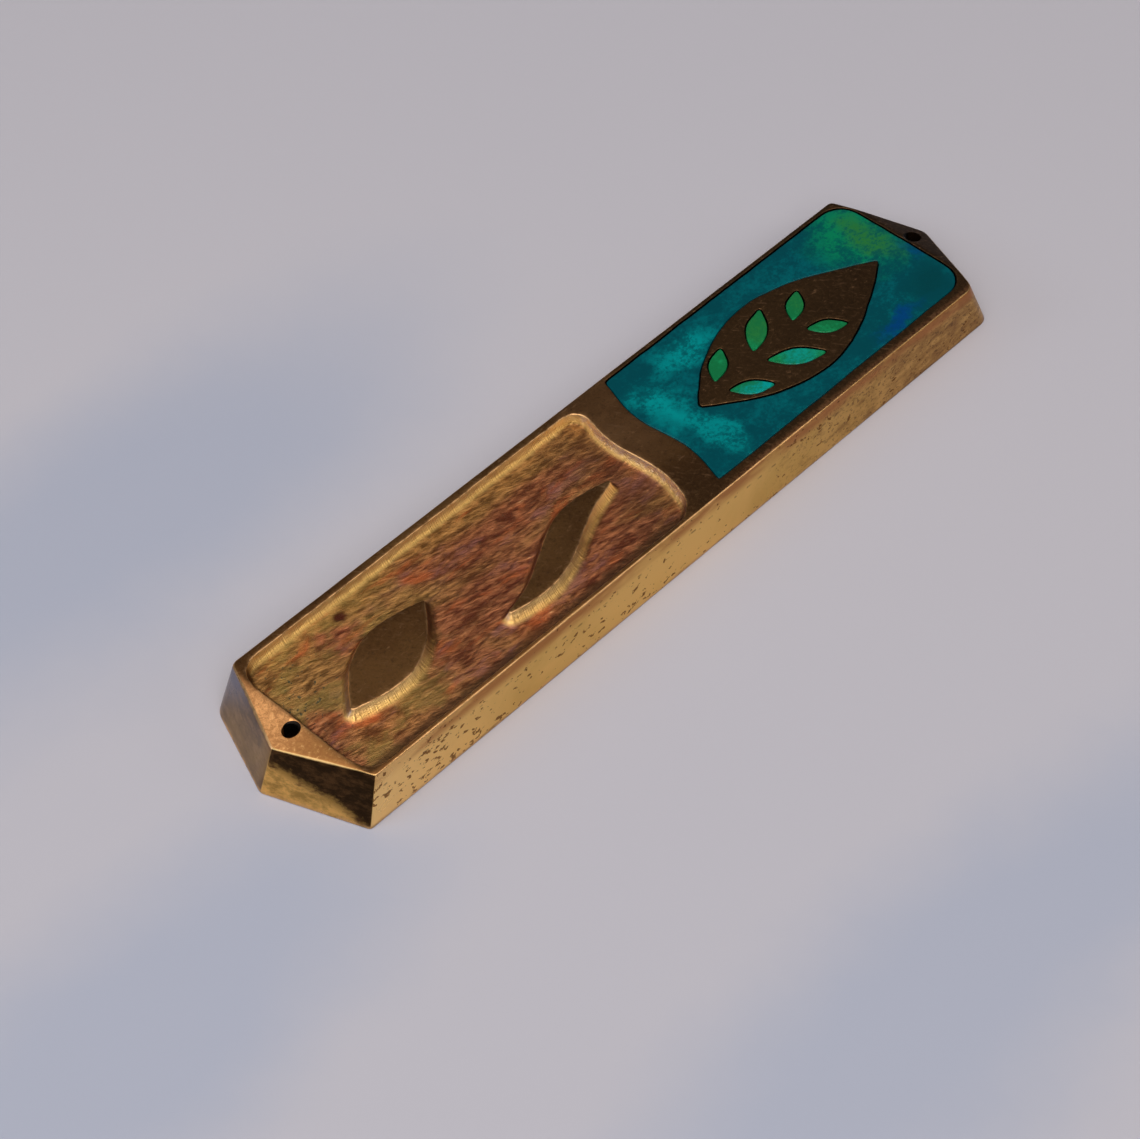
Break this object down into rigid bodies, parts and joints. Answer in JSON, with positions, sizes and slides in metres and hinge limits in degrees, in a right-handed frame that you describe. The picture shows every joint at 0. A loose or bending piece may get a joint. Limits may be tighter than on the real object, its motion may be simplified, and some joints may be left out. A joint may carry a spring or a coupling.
{
  "type": "mezuzah case",
  "caption": "Flat six-sided cast brass mezuzah case with pointed nail ends, leaf relief, a teal enamelled field, a sliding back plate and a rolled scroll inside.",
  "frame": {"origin": "middle of the back face that lies on the doorpost", "axes": "+Y along the length to the enamelled top end, +Z out of the front, +X to the right seen from the front"},
  "size_m": [0.028, 0.13, 0.0073],
  "materials": {
    "cast_brass": "aged, dark brown on the flats and worn bright on the edges",
    "rolled_brass": "brushed lengthwise, lightly tarnished",
    "teal_enamel": "glossy vitreous enamel, mottled teal",
    "green_enamel": "glossy vitreous enamel, mottled green",
    "parchment": "matte animal parchment",
    "clear_film": "thin clear film"
  },
  "bodies": {
    "case": {"case_body": "cast_brass", "enamel_field": "teal_enamel", "enamel_cell_1": "green_enamel", "enamel_cell_2": "green_enamel", "enamel_cell_3": "green_enamel", "enamel_cell_4": "green_enamel", "enamel_cell_5": "green_enamel", "enamel_cell_6": "green_enamel"},
    "plate": {"back_plate": "rolled_brass"},
    "scroll_pack": {"scroll": "parchment", "scroll_sleeve": "clear_film"}
  },
  "joints": [
    {"name": "plate_slide", "type": "slide", "parent": "case", "child": "plate", "axis": [0, 1, 0], "range_m": [0, 0.112]},
    {"name": "scroll_shift", "type": "slide", "parent": "case", "child": "scroll_pack", "axis": [0, 1, 0], "range_m": [-0.0017, 0.0017]}
  ]
}
